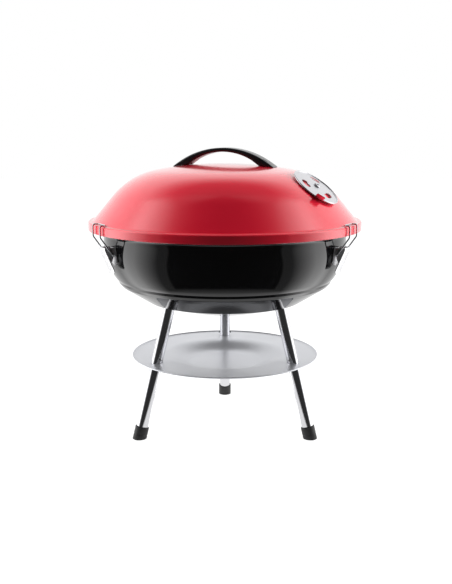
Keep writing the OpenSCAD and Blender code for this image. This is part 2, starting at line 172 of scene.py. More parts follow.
# Repeats a piece made at the front at the three latches and legs
def makeThreeSidesTree():
    tree, given = startTree("three sides", {"First Turn": "Float", "Finish": "Material"})
    points = addNode(tree, "GeometryNodeMeshLine", {"Count": 3, "Offset": (0, 0, 0)})
    index = tree.nodes.new("GeometryNodeInputIndex").outputs[0]
    turn = addMath(tree, "ADD", addMath(tree, "MULTIPLY", index, radians(120)), given["First Turn"])
    turned = addNode(tree, "ShaderNodeCombineXYZ", {2: turn})
    copies = addNode(tree, "GeometryNodeInstanceOnPoints", {
        "Points": points.outputs[0], "Instance": given["Geometry"], "Rotation": turned.outputs[0]})
    return endTree(tree, copies.outputs[0], given["Finish"])


turnedTree = makeTurnedTree()
wireTree = makeWireTree()
grateTree = makeGrateTree()
threeSidesTree = makeThreeSidesTree()


# ---- mesh helpers ----

def newPiece(name, points, edges=(), faces=()):
    mesh = bpy.data.meshes.new(name)
    mesh.from_pydata([Vector(p) for p in points], list(edges), list(faces))
    piece = bpy.data.objects.new(name, mesh)
    bpy.context.scene.collection.objects.link(piece)
    return piece


# Makes the modifiers' result the piece's own plain mesh
def settle(piece):
    depsgraph = bpy.context.evaluated_depsgraph_get()
    done = bpy.data.meshes.new_from_object(piece.evaluated_get(depsgraph), depsgraph=depsgraph)
    piece.modifiers.clear()
    spare = piece.data
    piece.data = done
    bpy.data.meshes.remove(spare)
    return piece


def runTree(piece, tree, **values):
    modifier = piece.modifiers.new(tree.name, "NODES")
    modifier.node_group = tree
    for item in tree.interface.items_tree:
        label = item.name.replace(" ", "")
        if item.item_type == "SOCKET" and item.in_out == "INPUT" and label in values:
            modifier[item.identifier] = values[label]
    return settle(piece)


# Merges doubles, turns faces outwards and marks the edges that stay sharp
def tidyMesh(piece, finish, sharp=35, place=None):
    work = bmesh.new()
    work.from_mesh(piece.data)
    bmesh.ops.remove_doubles(work, verts=work.verts, dist=2e-6)
    bmesh.ops.dissolve_degenerate(work, edges=work.edges, dist=1e-6)
    bmesh.ops.recalc_face_normals(work, faces=work.faces)
    work.to_mesh(piece.data)
    work.free()
    piece.data.shade_smooth()
    piece.data.set_sharp_from_angle(angle=radians(sharp))
    if place is not None:
        piece.data.transform(place)
    piece.data.materials.clear()
    piece.data.materials.append(finish)
    return piece


def joinPieces(name, pieces):
    work = bmesh.new()
    for piece in pieces:
        work.from_mesh(piece.data)
        bpy.data.objects.remove(piece)
    joined = newPiece(name, [])
    work.to_mesh(joined.data)
    work.free()
    return joined


def cutAway(piece, cutters):
    for cutter in cutters:
        cut = piece.modifiers.new("cut", "BOOLEAN")
        cut.object = cutter
        cut.operation = "DIFFERENCE"
        cut.solver = "EXACT"
    settle(piece)
    for cutter in cutters:
        bpy.data.objects.remove(cutter)
    return piece


def bevelEdges(piece, width):
    bevel = piece.modifiers.new("bevel", "BEVEL")
    bevel.width = width * mm
    bevel.segments = 2
    bevel.limit_method = "ANGLE"
    bevel.angle_limit = radians(40)
    return settle(piece)


# ---- lines, in millimetres as (radius, height) ----

def arcLine(centre, radius, start, end, step=3.0):
    count = max(2, math.ceil(abs(end - start) / step))
    angles = [radians(start + (end - start) * i / count) for i in range(count + 1)]
    return [Vector((centre[0] + radius * cos(a), centre[1] + radius * sin(a))) for a in angles]


# Corner points given as (radius, height, bend radius) become a line with round corners
def bentLine(corners, step=6.0, support=0.8):
    flat = [Vector(c[:2]) for c in corners]
    line = [flat[0]]
    for i in range(1, len(corners)):
        if i == len(corners) - 1 or len(corners[i]) < 3:
            line.append(flat[i])
            continue
        before = (flat[i - 1] - flat[i]).normalized()
        after = (flat[i + 1] - flat[i]).normalized()
        half = before.angle(after) / 2
        bend = corners[i][2]
        reach = bend / math.tan(half)
        middle = flat[i] + (before + after).normalized() * bend / sin(half)
        first = flat[i] + before * reach - middle
        turn = math.pi - 2 * half
        if before.x * after.y - before.y * after.x > 0:
            turn = -turn
        count = max(2, math.ceil(abs(math.degrees(turn)) / step))
        if (line[-1] - middle - first).length > 3 * support:
            line.append(middle + first + before * support)
        for k in range(count + 1):
            spin = Matrix.Rotation(turn * k / count, 2)
            line.append(middle + spin @ first)
        if (flat[i + 1] - line[-1]).length > 3 * support:
            line.append(line[-1] + after * support)
    return line


# The line's other face, one sheet thickness to its right
def otherFace(line, thickness):
    moved = []
    for i, point in enumerate(line):
        before = (point - line[i - 1]).normalized() if i else (line[1] - point).normalized()
        after = (line[i + 1] - point).normalized() if i < len(line) - 1 else before
        way = (before + after).normalized()
        side = Vector((way.y, -way.x)) / max(0.7, way.dot(before))
        moved.append(point + side * thickness)
    return moved


# Round end that joins a line to its other face
def roundEnd(last, other, way, steps=5):
    middle = (last + other) / 2
    half = (last - other) / 2
    angles = [math.pi * k / steps for k in range(1, steps)]
    return [middle + half * cos(a) + way * half.length * sin(a) for a in angles]


# Section of a sheet whose outer face is the line, which starts on the axis
def sheetSection(line, thickness):
    inner = otherFace(line, thickness)
    inner[0].x = 0
    way = (line[-1] - line[-2]).normalized()
    return line + roundEnd(line[-1], inner[-1], way) + inner[::-1]


def turned(name, section, steps, finish, sharp=35, place=None, cutters=()):
    points = [(p[0] * mm, 0, p[1] * mm) for p in section]
    piece = newPiece(name, points, [(i, i + 1) for i in range(len(points) - 1)])
    runTree(piece, turnedTree, Steps=steps, Finish=finish)
    if cutters:
        tidyMesh(piece, finish)
        cutAway(piece, cutters)
    return tidyMesh(piece, finish, sharp, place)


# Solid between two copies of an outline, in the X-Y plane, from one height to another
def prism(name, outline, low, high):
    count = len(outline)
    points = [(p[0] * mm, p[1] * mm, z * mm) for z in (low, high) for p in outline]
    walls = [(i, (i + 1) % count, (i + 1) % count + count, i + count) for i in range(count)]
    return newPiece(name, points, faces=[tuple(range(count))[::-1], tuple(range(count, 2 * count))] + walls)


def roundCutter(radius, height, place, corners=48):
    outline = [(radius * cos(2 * math.pi * k / corners), radius * sin(2 * math.pi * k / corners))
               for k in range(corners)]
    cutter = prism("cutter", outline, -height / 2, height / 2)
    cutter.data.transform(place)
    return cutter


# Strip of sheet that follows a line in the Y-Z plane, with its own half width at each point
def strip(name, line, thickness, halfWidths):
    other = otherFace(line, thickness)
    points = []
    for near, far, half in zip(line, other, halfWidths):
        points += [(-half * mm, near.x * mm, near.y * mm), (half * mm, near.x * mm, near.y * mm),
                   (half * mm, far.x * mm, far.y * mm), (-half * mm, far.x * mm, far.y * mm)]
    faces = []
    for i in range(len(line) - 1):
        a, b = 4 * i, 4 * i + 4
        faces += [(a + k, a + (k + 1) % 4, b + (k + 1) % 4, b + k) for k in range(4)]
    end = 4 * len(line) - 4
    faces += [(3, 2, 1, 0), (end, end + 1, end + 2, end + 3)]
    return newPiece(name, points, faces=faces)


def turnZ(degrees):
    return Matrix.Rotation(radians(degrees), 4, "Z")


def move(x, y, z):
    return Matrix.Translation((x * mm, y * mm, z * mm))


def tiltX(degrees):
    return Matrix.Rotation(radians(degrees), 4, "X")


# Puts a finished piece on the body it rides on and hides the CAD parts it stands for
def handOver(piece, body, slot, *cadNodes):
    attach(piece, body)
    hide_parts(*cadNodes)


# ---- finishes ----

def startFinish(name, colour, metallic, **sockets):
    material = bpy.data.materials.new(name)
    material.use_nodes = True
    tree = material.node_tree
    shader = tree.nodes["Principled BSDF"]
    shader.inputs["Metallic"].default_value = metallic
    for label, value in sockets.items():
        shader.inputs[label.replace("_", " ")].default_value = value
    where = addNode(tree, "ShaderNodeTexCoord").outputs["Object"]
    return material, tree, shader, where


def addNoise(tree, where, scale, detail=3.0, stretch=(1, 1, 1)):
    placed = addNode(tree, "ShaderNodeMapping", {"Vector": where, "Scale": stretch})
    return addNode(tree, "ShaderNodeTexNoise", {
        "Vector": placed.outputs[0], "Scale": scale, "Detail": detail}).outputs["Fac"]


def varyColour(tree, shader, source, colour, other):
    mix = addNode(tree, "ShaderNodeMix", data_type="RGBA")
    tree.links.new(source, mix.inputs[0])
    mix.inputs[6].default_value = (*colour, 1)
    mix.inputs[7].default_value = (*other, 1)
    tree.links.new(mix.outputs[2], shader.inputs["Base Color"])


def varyRoughness(tree, shader, source, low, high):
    spread = addNode(tree, "ShaderNodeMapRange", {
        "Value": source, "From Min": 0.3, "From Max": 0.7, "To Min": low, "To Max": high})
    tree.links.new(spread.outputs[0], shader.inputs["Roughness"])


def addBump(tree, shader, source, strength, distance):
    bump = addNode(tree, "ShaderNodeBump", {
        "Height": source, "Strength": strength, "Distance": distance * mm})
    tree.links.new(bump.outputs[0], shader.inputs["Normal"])


# Fired or baked coating: slight drift in its colour, a little orange peel and its own gloss
def makeCoating(name, look):
    material, tree, shader, where = startFinish(
        name, look["colour"], 0.0, IOR=look["ior"],
        Coat_Weight=look["coat"], Coat_Roughness=look["coatRoughness"])
    varyColour(tree, shader, addNoise(tree, where, look["driftScale"]), look["colour"], look["drift"])
    varyRoughness(tree, shader, addNoise(tree, where, 60), *look["roughness"])
    addBump(tree, shader, addNoise(tree, where, look["peelScale"], 2.0), look["peel"], 0.05)
    return material


# Bare or plated metal with fine lines along one direction
def makeMetal(name, look):
    material, tree, shader, where = startFinish(name, look["colour"], look.get("metallic", 1.0))
    lines = addNoise(tree, where, look["lineScale"], 4.0, look["stretch"])
    varyColour(tree, shader, addNoise(tree, where, 40), look["colour"], look["drift"])
    varyRoughness(tree, shader, lines, *look["roughness"])
    addBump(tree, shader, lines, look["lines"], 0.03)
    return material


# Spun or rolled sheet: fine rings round the kettle's axis
def makeSpunMetal(name, look):
    material, tree, shader, where = startFinish(name, look["colour"], look["metallic"])
    rings = addNode(tree, "ShaderNodeTexWave", {
        "Vector": where, "Scale": look["ringScale"], "Distortion": 1.5, "Detail": 3.0, "Detail Scale": 2.0},
        wave_type="RINGS", rings_direction="Z").outputs["Fac"]
    varyColour(tree, shader, addNoise(tree, where, 25), look["colour"], look["drift"])
    varyRoughness(tree, shader, addNoise(tree, where, 30), *look["roughness"])
    addBump(tree, shader, rings, look["lines"], 0.02)
    return material


# Moulded plastic or rubber with a fine grain
def makeMoulded(name, look):
    material, tree, shader, where = startFinish(name, look["colour"], 0.0)
    varyColour(tree, shader, addNoise(tree, where, 90), look["colour"], look["drift"])
    varyRoughness(tree, shader, addNoise(tree, where, 200), *look["roughness"])
    addBump(tree, shader, addNoise(tree, where, look["grainScale"], 2.0), look["grain"], 0.05)
    return material


lidEnamel = makeCoating("lidEnamel", {
    "colour": (0.86, 0.012, 0.040), "drift": (0.82, 0.010, 0.034), "driftScale": 18, "ior": 1.55,
    "roughness": (0.22, 0.25), "peelScale": 500, "peel": 0.004, "coat": 1.0, "coatRoughness": 0.10})
bowlEnamel = makeCoating("bowlEnamel", {
    "colour": (0.004, 0.004, 0.0045), "drift": (0.006, 0.006, 0.007), "driftScale": 30, "ior": 1.52,
    "roughness": (0.03, 0.045), "peelScale": 500, "peel": 0.006, "coat": 0.0, "coatRoughness": 0.03})
handlePlastic = makeMoulded("handlePlastic", {
    "colour": (0.010, 0.010, 0.011), "drift": (0.015, 0.015, 0.016), "roughness": (0.20, 0.28),
    "grainScale": 1800, "grain": 0.06})
legChrome = makeMetal("legChrome", {
    "colour": (0.80, 0.80, 0.82), "drift": (0.76, 0.76, 0.79), "roughness": (0.08, 0.14),
    "lineScale": 300, "stretch": (1, 1, 0.04), "lines": 0.006})
wireChrome = makeMetal("wireChrome", {
    "colour": (0.78, 0.78, 0.80), "drift": (0.70, 0.70, 0.73), "roughness": (0.10, 0.18),
    "lineScale": 500, "stretch": (1, 1, 1), "lines": 0.05})
grateSteel = makeMetal("grateSteel", {
    "colour": (0.56, 0.55, 0.54), "drift": (0.46, 0.45, 0.44), "roughness": (0.24, 0.38),
    "lineScale": 260, "stretch": (1, 0.08, 1), "lines": 0.10})
ventSteel = makeMetal("ventSteel", {
    "colour": (0.78, 0.78, 0.80), "drift": (0.74, 0.74, 0.77), "roughness": (0.30, 0.36),
    "lineScale": 420, "stretch": (0.06, 1, 1), "lines": 0.015})
latchSteel = makeMetal("latchSteel", {
    "colour": (0.86, 0.86, 0.87), "drift": (0.82, 0.82, 0.84), "metallic": 0.55, "roughness": (0.26, 0.34),
    "lineScale": 380, "stretch": (1, 1, 0.08), "lines": 0.015})
plainSteel = makeMetal("plainSteel", {
    "colour": (0.55, 0.55, 0.56), "drift": (0.47, 0.47, 0.49), "roughness": (0.26, 0.38),
    "lineScale": 300, "stretch": (1, 1, 1), "lines": 0.08})
traySteel = makeSpunMetal("traySteel", {
    "colour": (0.72, 0.73, 0.76), "drift": (0.68, 0.69, 0.73), "metallic": 0.8, "roughness": (0.34, 0.38),
    "ringScale": 420, "lines": 0.012})
footRubber = makeMoulded("footRubber", {
    "colour": (0.012, 0.012, 0.013), "drift": (0.020, 0.020, 0.021), "roughness": (0.42, 0.58),
    "grainScale": 1500, "grain": 0.18})
print("finishes made")


# ---- lid ----

lid = {
    "radius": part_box("lid_shell")[1].x / mm,
    "crownHeight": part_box("lid_shell")[1].z / mm,
    "skirtHeight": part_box("lid_shell")[0].z / mm,
    "crownRadius": 505,
    "crownEnd": 79.4,  # degrees above the horizontal where the shoulder takes over
    "shoulderRadius": 100.3,
    "shoulderEnd": 39.5,
    "flankFoot": (177, 290.4),
    "flange": (178.1, 289.4),
    "flangeBend": 2,
    "sheet": 1.2,
    "steps": 240,
}
crownCentre = Vector((0, lid["crownHeight"] - lid["crownRadius"]))
crownEnd = radians(lid["crownEnd"])
shoulderCentre = crownCentre + (lid["crownRadius"] - lid["shoulderRadius"]) * Vector((
    cos(crownEnd), sin(crownEnd)))


def lidTop(radius):
    return crownCentre.y + math.sqrt(lid["crownRadius"] ** 2 - radius ** 2)


vent = {"radius": 134.5, "direction": 60}
ventLift = math.sqrt(lid["shoulderRadius"] ** 2 - (vent["radius"] - shoulderCentre.x) ** 2)
ventTilt = 90 - math.degrees(math.atan2(ventLift, vent["radius"] - shoulderCentre.x))
onVent = turnZ(vent["direction"]) @ move(0, -vent["radius"], shoulderCentre.y + ventLift) @ tiltX(ventTilt)

damper = {
    "radius": 33.5, "gap": 0.5, "drop": 2.2, "sheet": 0.8, "rimWire": 1.0, "portRadius": 19.5, "portWidth": 8,
    "portSpan": 12, "portTurn": 6, "tabTurn": -54, "tabWidth": 12, "notch": 1.4, "steps": 192,
}
domeRadius = damper["radius"] ** 2 / (2 * damper["drop"])
rivet = {"shank": 3.0, "head": 4.6, "recess": 1.9, "headHeight": 2.0}


# Outline of one bean-shaped port, pointing down the slope
def portOutline(turn):
    span = damper["portSpan"] - 2
    half = damper["portWidth"] / 2 + 0.4
    outline = []
    for side in (1, -1):
        end = side * span
        outline += arcLine((0, 0), damper["portRadius"] + side * half, -end, end, 2.5)[1:-1]
        middle = Vector((damper["portRadius"] * cos(radians(end)),
                         damper["portRadius"] * sin(radians(end))))
        lean = end if side > 0 else end + 180
        outline += arcLine(middle, half, lean, lean + 180, 12)
    spin = Matrix.Rotation(radians(turn - 90), 2)
    return [spin @ Vector(p) for p in outline]


def portCutters(turn, place):
    cutters = []
    for k in range(3):
        cutter = prism("cutter", portOutline(turn + 120 * k), -10, 10)
        cutter.data.transform(place)
        cutters.append(cutter)
    return cutters


handle = {
    "outRadius": 110, "inRadius": 78.4, "height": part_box("lid_handle")[1].z / mm, "crownThickness": 5.3,
    "depth": 26, "turn": -17, "edge": 2.8, "footEdge": 1.0, "slot": (7.0, 3.0, 1.4), "slotPlace": 57.5,
    "screwPlace": 56,
}


def handleFoot(side):
    tilt = Matrix.Rotation(side * math.asin(handle["screwPlace"] / lid["crownRadius"]), 4, "Y")
    return turnZ(handle["turn"]) @ move(side * handle["screwPlace"], 0, lidTop(handle["screwPlace"])) @ tilt


def makeLid():
    line = arcLine(crownCentre, lid["crownRadius"], 90, lid["crownEnd"], 0.9)
    line += arcLine(shoulderCentre, lid["shoulderRadius"], lid["crownEnd"], lid["shoulderEnd"], 1.5)[1:]
    foot = bentLine([line[-1][:], (*lid["flankFoot"], 2.0), (*lid["flange"], 1.0), (
        lid["radius"] - lid["flangeBend"], lid["flange"][1])], 8)
    line += foot[1:-1]
    line += arcLine((lid["radius"] - lid["flangeBend"], lid["flange"][1] - lid["flangeBend"]),
                    lid["flangeBend"], 90, 0, 10)
    line += [Vector((lid["radius"], height)) for height in (
        lid["flange"][1] - 3.2, lid["skirtHeight"] + 1.6, lid["skirtHeight"] + 0.6)]
    line[0].x = 0
    cutters = portCutters(damper["portTurn"] + 60, onVent)
    cutters.append(roundCutter(rivet["shank"] + 0.05, 20, onVent))
    cutters += [roundCutter(2.55, 20, handleFoot(side)) for side in (-1, 1)]
    piece = turned("lidShell", sheetSection(line, lid["sheet"]), lid["steps"], lidEnamel, cutters=cutters)
    handOver(piece, "lid", "lid_enamel", "lid_shell")


def makeHandle():
    outCentre = handle["height"] - handle["outRadius"]
    inCentre = handle["height"] - handle["crownThickness"] - handle["inRadius"]

    def upper(x):
        return outCentre + math.sqrt(handle["outRadius"] ** 2 - x * x)

    def lower(x):
        arch = inCentre + math.sqrt(max(0, handle["inRadius"] ** 2 - x * x))
        return max(arch, lidTop(x) + 0.08)

    toe = 40.0
    while upper(toe) - lidTop(toe) > 0.9:
        toe += 0.05
    heel = 40.0
    while inCentre + math.sqrt(handle["inRadius"] ** 2 - heel ** 2) > lidTop(heel) + 0.08:
        heel += 0.01
    inside = [heel * sin(radians(90 * k / 40)) for k in range(-40, 41)]
    outside = [heel + (toe - heel) * k / 12 for k in range(1, 13)]
    stations = [-x for x in outside[::-1]] + inside + outside
    points = []
    corner = 5
    for x in stations:
        low, high = lower(x), upper(x)
        top = min(handle["edge"], 0.42 * (high - low))
        bottom = min(handle["edge"] if abs(x) < heel - 8 else handle["footEdge"], 0.42 * (high - low))
        half = handle["depth"] / 2 - 0.9 * max(0, (abs(x) - heel) / (toe - heel)) ** 2
        rounds = ((half - top, high - top, top, 0), (top - half, high - top, top, 90),
                  (bottom - half, low + bottom, bottom, 180), (half - bottom, low + bottom, bottom, 270))
        for y, z, radius, start in rounds:
            for k in range(corner + 1):
                a = radians(start + 90 * k / corner)
                points.append((x * mm, (y + radius * cos(a)) * mm, (z + radius * sin(a)) * mm))
    ring = 4 * (corner + 1)
    faces = [tuple(range(ring)), tuple(range(len(points) - ring, len(points)))[::-1]]
    for i in range(len(stations) - 1):
        a, b = i * ring, (i + 1) * ring
        faces += [(a + k, b + k, b + (k + 1) % ring, a + (k + 1) % ring) for k in range(ring)]
    piece = tidyMesh(newPiece("lidHandle", points, faces=faces), handlePlastic)
    length, width, depth = handle["slot"]
    cutters = []
    for side in (-1, 1):  # one slot in each foot, the same when the handle is turned end for end
        x = handle["slotPlace"]
        slope = math.degrees(math.asin(x / handle["outRadius"]))
        outline = arcLine(((length - width) / 2, 0), width / 2, -90, 90, 15)
        outline += arcLine(((width - length) / 2, 0), width / 2, 90, 270, 15)
        cutter = prism("cutter", outline, -depth, 4)
        place = move(side * x, -side * 6.5, upper(x)) @ Matrix.Rotation(radians(side * slope), 4, "Y")
        cutter.data.transform(place)
        cutters.append(cutter)
    cutAway(piece, cutters)
    tidyMesh(piece, handlePlastic, 32, turnZ(handle["turn"]))
    handOver(piece, "lid", "handle_plastic", "lid_handle")


def makeHandleScrews():
    section = bentLine([(0, 0.1), (2.45, 0.1), (2.45, -2.6), (4.5, -2.6), (4.5, -3.6, 0.8), (3.2, -5.0, 1.0),
                        (1.6, -5.2), (1.6, -4.2), (0, -4.2)], 15, 0.3)
    shells = [turned("screw", section, 40, plainSteel, place=handleFoot(side)) for side in (-1, 1)]
    piece = tidyMesh(joinPieces("handleScrews", shells), plainSteel)
    handOver(piece, "lid", "steel", "handle_screws")


def makeDamper():
    top = domeRadius + damper["sheet"]
    rimRadius = damper["radius"] - damper["rimWire"]
    rimHeight = damper["gap"] - damper["drop"] + 1.1
    domeCentre = damper["gap"] - domeRadius

    def dome(radius, size):
        return Vector((radius, domeCentre + math.sqrt(size ** 2 - radius ** 2)))

    hole = rivet["shank"] + 0.05
    section = [dome(hole, domeRadius), dome(hole, top)]
    section += [dome(hole + (rimRadius - 1.2 - hole) * k / 14, top) for k in range(1, 15)]
    section += arcLine((rimRadius, rimHeight), damper["rimWire"], 172, -115, 14)
    section += [dome(rimRadius - 1.2 - (rimRadius - 1.2 - hole) * k / 14, domeRadius) for k in range(15)]
    section = [p for i, p in enumerate(section) if i == 0 or (p - section[i - 1]).length > 1e-4]
    cutters = portCutters(damper["portTurn"], Matrix.Identity(4))
    for side in (-1, 1):
        notch = move(side * (damper["tabWidth"] / 2 + 1.6), -damper["radius"] - 1, 0)
        cutters.append(roundCutter(damper["notch"], 20, turnZ(damper["tabTurn"]) @ notch))
    plate = turned("plate", section, damper["steps"], ventSteel, cutters=cutters)
    lean = radians(25)
    line = [Vector((2 - damper["radius"], -0.4)), Vector((0.9 - damper["radius"], -0.35))]
    line += arcLine((0.4 - damper["radius"], 0.75), 1.1, -80, -155, 15)
    way = Vector((-sin(lean), cos(lean)))
    line += [line[-1] + way * d for d in (1.5, 3.0, 4.5, 5.4, 6.0, 6.35)]
    half = damper["tabWidth"] / 2
    widths = [half] * (len(line) - 3) + [half - 0.25, half - 0.9, half - 1.9]
    tab = strip("tab", line[::-1], damper["sheet"], widths[::-1])
    bevelEdges(tab, 0.2)
    tab.data.transform(turnZ(damper["tabTurn"]))
    piece = tidyMesh(joinPieces("ventDamper", [plate, tab]), ventSteel, 30, onVent)
    handOver(piece, "damper", "vent_steel", "vent_damper")


def makeVentRivet():
    under = -lid["sheet"] - 2.2
    low = damper["gap"] + damper["sheet"] + 0.15
    high = low + rivet["headHeight"]
    section = bentLine([
        (0, under), (4.0, under, 0.4), (4.0, under + 0.8, 0.3), (rivet["shank"], under + 0.8),
        (rivet["shank"], low), (rivet["head"], low, 0.4), (rivet["head"], high - 0.7, 0.5),
        (3.3, high, 0.5), (rivet["recess"], high, 0.4), (rivet["recess"] - 0.3, low + 0.9, 0.3),
        (0, low + 0.8)], 12, 0.3)
    piece = turned("ventRivet", section, 64, ventSteel, place=onVent)
    handOver(piece, "lid", "vent_steel", "vent_rivet")


makeLid()
makeHandle()
makeHandleScrews()
makeDamper()
makeVentRivet()
print("lid, handle and vent made")


# ---- bowl ----

bowl = {
    "radius": 164.3,
    "bottom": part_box("bowl_shell")[0].z / mm,
    "bellyRadius": 87.3,
    "bellyHeight": 262,
    "flareRadius": 6.5,
    "flareHeight": 270,
    "step": [(146.3, 209.8, 1.2), (145.1, 206.5, 1.0), (141.6, 202.3, 6.0)],
    "cone": [(134, 197.3, 30), (105.5, 179.53, 7)],
    "bottomRadius": 55,
    "bead": (178.5, 284.4, 3.5),
    "sheet": 1.2,
    "steps": 240,
    "ashHoles": 5,
    "ashHoleRadius": 8,
    "ashHolePlace": 32,
}
leg = {
    "diameter": 15.6, "wall": 1.2, "splay": 15, "topRadius": 86, "pinHeight": 106.6, "footDrop": 0.9,
    "footRadius": 9.25, "footLength": 16, "footFloor": 3,
}
leg["topHeight"] = bowl["bottom"] + (leg["topRadius"] - bowl["bottomRadius"]) * math.tan(
    radians(leg["splay"]))
leg["length"] = (leg["topHeight"] - leg["footDrop"]) / cos(radians(leg["splay"]))
latch = {"wallHeight": 251, "lean": 7.2, "rivetSpread": 3.6, "rivetRise": 6, "rivetHole": 1.6,
         "pin": (171.6, 259.1), "tabGap": 2.05}
latch["wallRadius"] = bowl["radius"] - bowl["bellyRadius"] + math.sqrt(
    bowl["bellyRadius"] ** 2 - (latch["wallHeight"] - bowl["bellyHeight"]) ** 2)


def onLeg(angle):
    return turnZ(angle) @ move(0, -leg["topRadius"], leg["topHeight"]) @ tiltX(-leg["splay"])


def onWall(angle):
    return turnZ(angle) @ move(0, -latch["wallRadius"], latch["wallHeight"]) @ tiltX(latch["lean"])


def onRivet(angle, side):
    return onWall(angle) @ move(side * latch["rivetSpread"], 0, latch["rivetRise"]) @ tiltX(90)


def makeBowl():
    x, z, bead = bowl["bead"]
    line = arcLine((x, z), bead, 205, -75, 9)
    line += [Vector((174.6, 278.4))]
    flareCentre = (bowl["radius"] + bowl["flareRadius"], bowl["flareHeight"])
    line += arcLine(flareCentre, bowl["flareRadius"], 100, 180, 8)
    belly = (bowl["radius"] - bowl["bellyRadius"], bowl["bellyHeight"])
    line += [Vector((bowl["radius"], 268.5)), Vector((bowl["radius"], 263.5))]
    line += arcLine(belly, bowl["bellyRadius"], 0, -34, 1.5)
    bottom = [(bowl["bottomRadius"], bowl["bottom"], 6), (0, bowl["bottom"])]
    line += bentLine([line[-1][:], *bowl["step"], *bowl["cone"], *bottom], 4)[1:]
    line = line[::-1]  # from the axis outwards, so the outside is on the other hand
    section = sheetSection(line, -bowl["sheet"])
    cutters = [roundCutter(3.3, 20, onLeg(angle)) for angle in sides.values()]
    cutters += [roundCutter(latch["rivetHole"], 20, onRivet(angle, side), 24)
                for angle in sides.values() for side in (-1, 1)]
    for k in range(bowl["ashHoles"]):
        place = turnZ(360 * k / bowl["ashHoles"]) @ move(bowl["ashHolePlace"], 0, bowl["bottom"])
        cutters.append(roundCutter(bowl["ashHoleRadius"], 10, place))
    piece = turned("bowlShell", section, bowl["steps"], bowlEnamel, cutters=cutters)
    handOver(piece, "base", "bowl_enamel", "bowl_shell")


cookingGrate = {"RingRadius": 156, "RingWire": 5, "RodWire": 3, "RodGap": 12, "RodRise": 3.6, "BarWire": 4,
                "BarPlace": 62, "Height": 253}
charcoalGrate = {"RingRadius": 143.6, "RingWire": 4, "RodWire": 3, "RodGap": 17, "RodRise": 3.1, "BarWire": 4,
                 "BarPlace": 55, "Height": 212.2}


def makeGrate(name, sizes, cadNode, slot, finish):
    piece = newPiece(name, [])
    runTree(piece, grateTree, Finish=finish, **{key: value * mm for key, value in sizes.items()})
    tidyMesh(piece, finish, 50)
    handOver(piece, cadNode, slot, cadNode)


makeBowl()
makeGrate("cookingGrate", cookingGrate, "cooking_grate", "chrome", wireChrome)
makeGrate("charcoalGrate", charcoalGrate, "charcoal_grate", "grate_steel", grateSteel)
print("bowl and grates made")


# ---- legs, feet and tray ----

tray = {"radius": 127.8, "height": 101.6, "dishDepth": 11.5, "dishFloor": 45, "dishRadius": 85, "sheet": 1.0,
        "steps": 240}


# Makes one piece at the front and repeats it at the three sides
def onThreeSides(piece, name, finish, slot, *cadNodes, sharp=35):
    piece.name = name
    runTree(piece, threeSidesTree, FirstTurn=radians(sides["left"]), Finish=finish)
    tidyMesh(piece, finish, sharp)
    handOver(piece, "base", slot, *cadNodes)


def makeLeg(side, angle):
    outer = leg["diameter"] / 2
    inner = outer - leg["wall"]
    low = leg["footFloor"] - leg["length"]
    top = -0.2
    section = bentLine([
        (inner, low), (outer, low, 0.3), (outer, top, 0.3), (inner, top, 0.3), (inner, low)], 20)
    piece = turned("leg" + side.capitalize(), section, 96, legChrome, place=onLeg(angle))
    handOver(piece, "base", "chrome", "leg_" + side)


def makeFoot(side, angle):
    outer = leg["footRadius"]
    inner = leg["diameter"] / 2 + 0.05
    low = -leg["length"]
    top = low + leg["footLength"]
    floor = low + leg["footFloor"] - 0.1
    section = bentLine([
        (0, low - 3), (outer, low - 3), (outer, low + 4.2, 0.4), (outer - 0.35, low + 4.6, 0.3),
        (outer - 0.35, low + 5.2, 0.3), (outer, low + 5.6, 0.4), (outer, top - 0.8, 0.6),
        (outer - 0.7, top, 0.5), (inner, top, 0.3), (inner, floor), (0, floor)], 12, 0.3)
    piece = turned("foot" + side.capitalize(), section, 72, footRubber, place=onLeg(angle))
    work = bmesh.new()
    work.from_mesh(piece.data)
    parts = work.verts[:] + work.edges[:] + work.faces[:]
    cut = bmesh.ops.bisect_plane(work, geom=parts, plane_co=(0, 0, 0), plane_no=(0, 0, -1), clear_outer=True)
    rim = [part for part in cut["geom_cut"] if isinstance(part, bmesh.types.BMEdge)]
    bmesh.ops.contextual_create(work, geom=rim)
    work.to_mesh(piece.data)
    work.free()
    tidyMesh(piece, footRubber, 30)
    handOver(piece, "base", "rubber", "foot_" + side)


def makeTrayPins():
    half = leg["diameter"] / 2 + 1.7
    height = (leg["pinHeight"] - leg["topHeight"]) / cos(radians(leg["splay"]))
    section = bentLine([(0, -half), (1.5, -half, 0.4), (1.5, half, 0.4), (0, half)], 20, 0.3)
    place = onLeg(0) @ move(0, 0, height) @ Matrix.Rotation(math.pi / 2, 4, "Y")
    piece = turned("pin", section, 32, plainSteel, place=place)
    onThreeSides(piece, "trayPins", plainSteel, "steel", "tray_pins")


legWasher = {"hole": 3.1, "radius": 8, "sheet": 1.2, "low": bowl["sheet"] + 0.2}
legScrew = {"shank": 3, "length": 13, "head": 5.6, "headHeight": 4, "recess": 2.4}


def makeLegScrews():
    low = legWasher["low"] + legWasher["sheet"] + 0.05
    high = low + legScrew["headHeight"]
    reach = legScrew["shank"]
    section = [Vector(p) for p in (
        (0, -legScrew["length"]), (reach, -legScrew["length"]), (reach, low + 0.5), (0, low + 0.5))]
    shank = turned("shank", section, 32, plainSteel, place=onLeg(0))
    outline = [legScrew["head"] * Vector((cos(radians(60 * k)), sin(radians(60 * k))))
               for k in range(6)]
    head = prism("head", outline, low, high)
    bevelEdges(head, 0.35)
    cutAway(head, [roundCutter(legScrew["recess"], 2, move(0, 0, high), 32)])
    head.data.transform(onLeg(0))
    screws = joinPieces("screws", [shank, head])
    onThreeSides(screws, "legScrews", plainSteel, "steel", "leg_screws", sharp=25)


